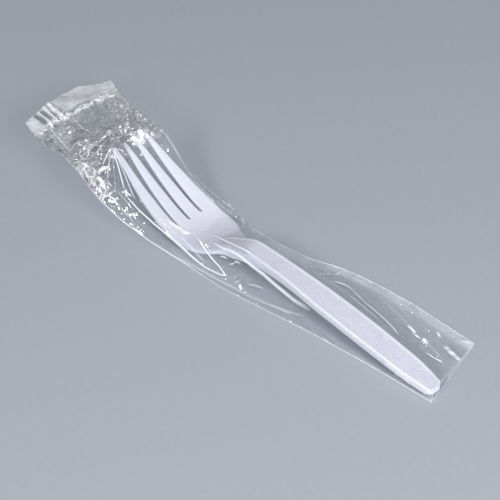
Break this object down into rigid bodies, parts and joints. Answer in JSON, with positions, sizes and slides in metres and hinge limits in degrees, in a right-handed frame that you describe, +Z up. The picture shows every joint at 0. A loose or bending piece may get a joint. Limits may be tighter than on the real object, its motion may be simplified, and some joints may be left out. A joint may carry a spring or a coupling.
{
  "type": "plastic fork in a clear film wrapper",
  "caption": "Disposable plastic fork, face up, sealed by itself in a loose, crinkled sleeve of clear film for take-away meals.",
  "frame": {"origin": "centre of the pack's box, on the surface that it lies on", "axes": "+X along the fork from the handle end to the tines, +Z up, out of the fork's hollow face"},
  "size_m": [0.2044, 0.0508, 0.0256],
  "materials": {
    "white_plastic": "white moulded plastic, fine matte grain on the top face, smooth sides",
    "clear_film": "thin clear glossy film, crinkled, hazy where it is sealed double"
  },
  "bodies": {
    "root": {"fork": "white_plastic", "wrapper": "clear_film"}
  },
  "joints": []
}
